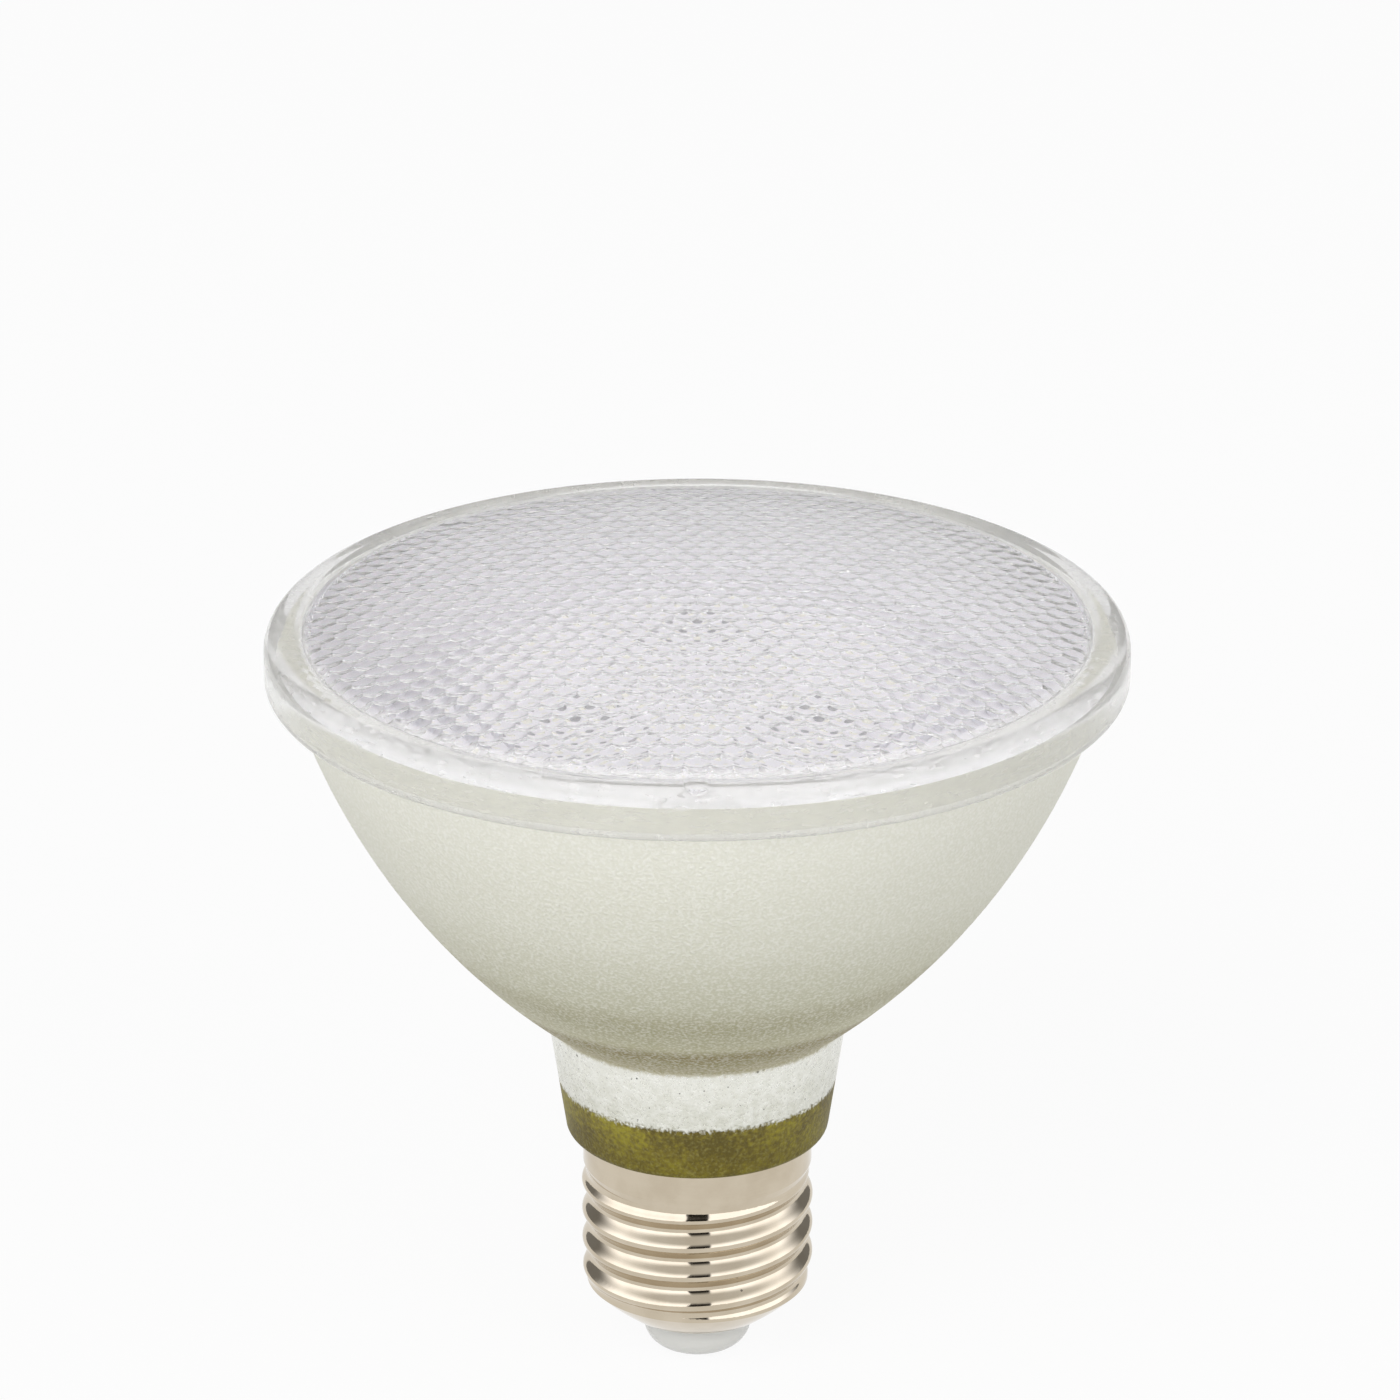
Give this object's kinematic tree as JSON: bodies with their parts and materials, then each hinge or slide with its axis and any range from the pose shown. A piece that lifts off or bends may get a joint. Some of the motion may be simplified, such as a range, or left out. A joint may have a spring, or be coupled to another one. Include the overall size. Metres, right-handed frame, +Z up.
{
  "type": "par spotlight bulb",
  "caption": "Reflector lamp with a domed honeycomb lens, a frosted glass bowl with a tapered neck, an Edison screw cap and its light source and driver inside.",
  "frame": {"origin": "Centre of the face of the centre contact, at the foot of the cap.", "axes": "+Z runs up the lamp's axis from the cap to the lens; X and Y lie across it."},
  "size_m": [0.0952, 0.0952, 0.0924],
  "materials": {
    "clear_lens": "clear, polished",
    "silicone": "matt, cloudy",
    "frosted_glass": "sandblasted outside, silvered inside",
    "resin": "cured olive resin",
    "nickel": "nickel plate, bright",
    "white_insulator": "satin",
    "contact_metal": "tinned, dull",
    "board_white": "white solder mask",
    "emitter": "pale phosphor",
    "spreader_metal": "bright stamped",
    "screw_steel": "zinc plate",
    "housing_plastic": "moulded",
    "laminate": "green laminate",
    "can_sleeve": "shrink sleeve",
    "film_box": "moulded box",
    "ferrite": "ground",
    "winding_tape": "polyester tape",
    "chip_epoxy": "moulded",
    "resistor_coat": "dipped",
    "varistor_coat": "dipped",
    "wire_brown": "insulated wire",
    "wire_blue": "insulated wire",
    "wire_white": "insulated wire"
  },
  "bodies": {
    "root": {"front_lens": "clear_lens", "lens_seal": "silicone", "reflector_body": "frosted_glass", "cap_cement": "resin", "screw_shell": "nickel", "cap_insulator": "white_insulator", "centre_contact": "contact_metal", "led_board": "board_white", "led_chips": "emitter", "heat_spreader": "spreader_metal", "board_screws": "screw_steel", "driver_housing": "housing_plastic", "driver_board": "laminate", "bulk_capacitor": "can_sleeve", "film_capacitor": "film_box", "choke_core": "ferrite", "choke_winding": "winding_tape", "bridge_rectifier": "chip_epoxy", "driver_chip": "chip_epoxy", "fuse_resistor": "resistor_coat", "surge_varistor": "varistor_coat", "live_wire": "wire_brown", "neutral_wire": "wire_blue", "led_wire_positive": "wire_white", "led_wire_negative": "wire_white"}
  },
  "joints": []
}
